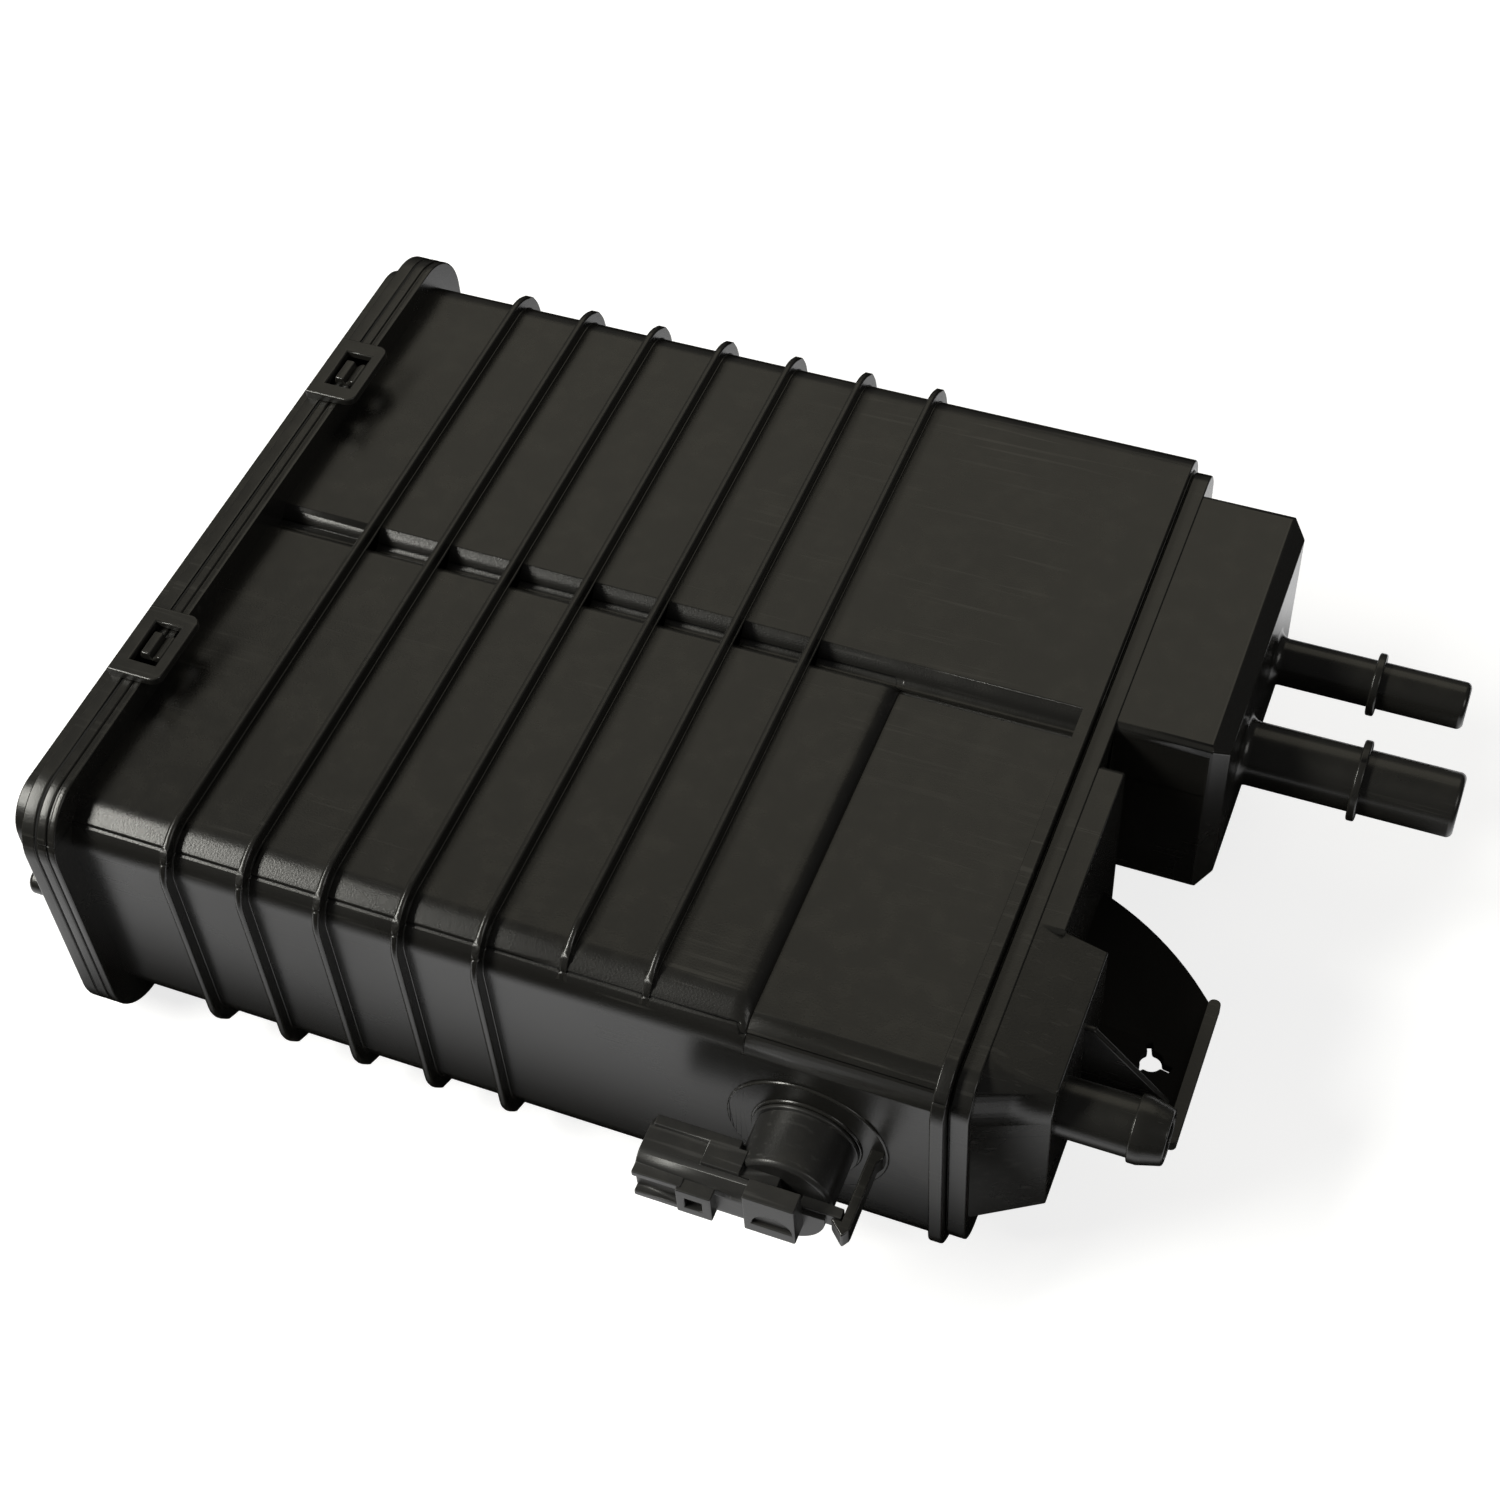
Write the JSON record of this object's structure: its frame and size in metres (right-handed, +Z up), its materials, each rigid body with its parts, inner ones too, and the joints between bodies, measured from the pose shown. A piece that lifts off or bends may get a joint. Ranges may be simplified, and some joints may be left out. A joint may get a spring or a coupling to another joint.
{
  "type": "charcoal canister",
  "caption": "Flat ribbed black plastic canister that holds carbon to store fuel vapour, with hose spigots, a hose nipple, a bracket shelf and a solenoid vent valve on its side.",
  "frame": {"origin": "middle of the footprint at the lowest point, under the lower latch loops", "axes": "+X from the end cover to the hose ports, +Y away from the vent valve, +Z up"},
  "size_m": [0.3148, 0.2322, 0.0868],
  "materials": {
    "housing": "semi-gloss moulded",
    "end_cover": "semi-gloss moulded",
    "gasket": "matte",
    "port_cover": "semi-gloss moulded",
    "carbon": "granular matte",
    "filter_pad": "felt",
    "plate_plastic": "moulded",
    "spring_steel": "drawn wire",
    "valve_plastic": "semi-gloss moulded",
    "nose_plastic": "moulded",
    "seal_rubber": "matte",
    "copper_wire": "enamelled copper wire",
    "soft_iron": "turned",
    "blade_brass": "tinned brass"
  },
  "bodies": {
    "canister": {"housing": "housing", "end_cover": "end_cover", "cover_gasket": "gasket", "port_cover": "port_cover", "near_bed": "carbon", "far_bed": "carbon", "near_rear_pad": "filter_pad", "near_front_pad": "filter_pad", "far_rear_pad": "filter_pad", "far_front_pad": "filter_pad", "near_press_plate": "plate_plastic", "far_press_plate": "plate_plastic", "near_grid": "plate_plastic", "far_grid": "plate_plastic", "near_springs": "spring_steel", "far_springs": "spring_steel", "valve_body": "valve_plastic", "valve_nose": "nose_plastic", "valve_ring": "seal_rubber", "bobbin": "nose_plastic", "coil": "copper_wire", "pole_core": "soft_iron", "yoke": "soft_iron", "return_spring": "spring_steel", "terminals": "blade_brass"},
    "plunger": {"plunger": "soft_iron", "valve_seal": "seal_rubber"}
  },
  "joints": [
    {"name": "plunger_slide", "type": "slide", "parent": "canister", "child": "plunger", "axis": [0, 1, 0], "range_m": [0, 0.0016], "stiffness_N_per_m": 500, "springref_m": -0.002, "deforming": ["return_spring"]}
  ]
}
